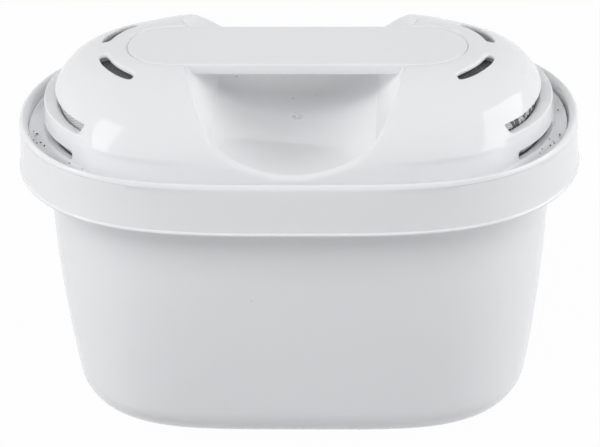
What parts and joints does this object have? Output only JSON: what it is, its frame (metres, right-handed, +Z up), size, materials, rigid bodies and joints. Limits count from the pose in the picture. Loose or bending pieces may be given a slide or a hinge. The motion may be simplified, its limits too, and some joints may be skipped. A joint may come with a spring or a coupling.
{
  "type": "water pitcher filter cartridge",
  "caption": "Oval water filter cartridge for a pitcher: tapered white cup with a downturned collar, domed cover with a handle bar, water slots and screens.",
  "frame": {"origin": "middle of the base, on the surface that it stands on", "axes": "+X along the length, +Y away from the viewer of the picture, +Z up"},
  "size_m": [0.105, 0.066, 0.0722],
  "materials": {
    "cup_plastic": "gloss",
    "cover_plastic": "gloss",
    "screen": "woven",
    "media": "granular"
  },
  "bodies": {
    "root": {"cup": "cup_plastic", "cover": "cover_plastic", "inlet_screen_left": "screen", "inlet_screen_right": "screen", "outlet_screen": "screen", "media_bed": "media"}
  },
  "joints": []
}
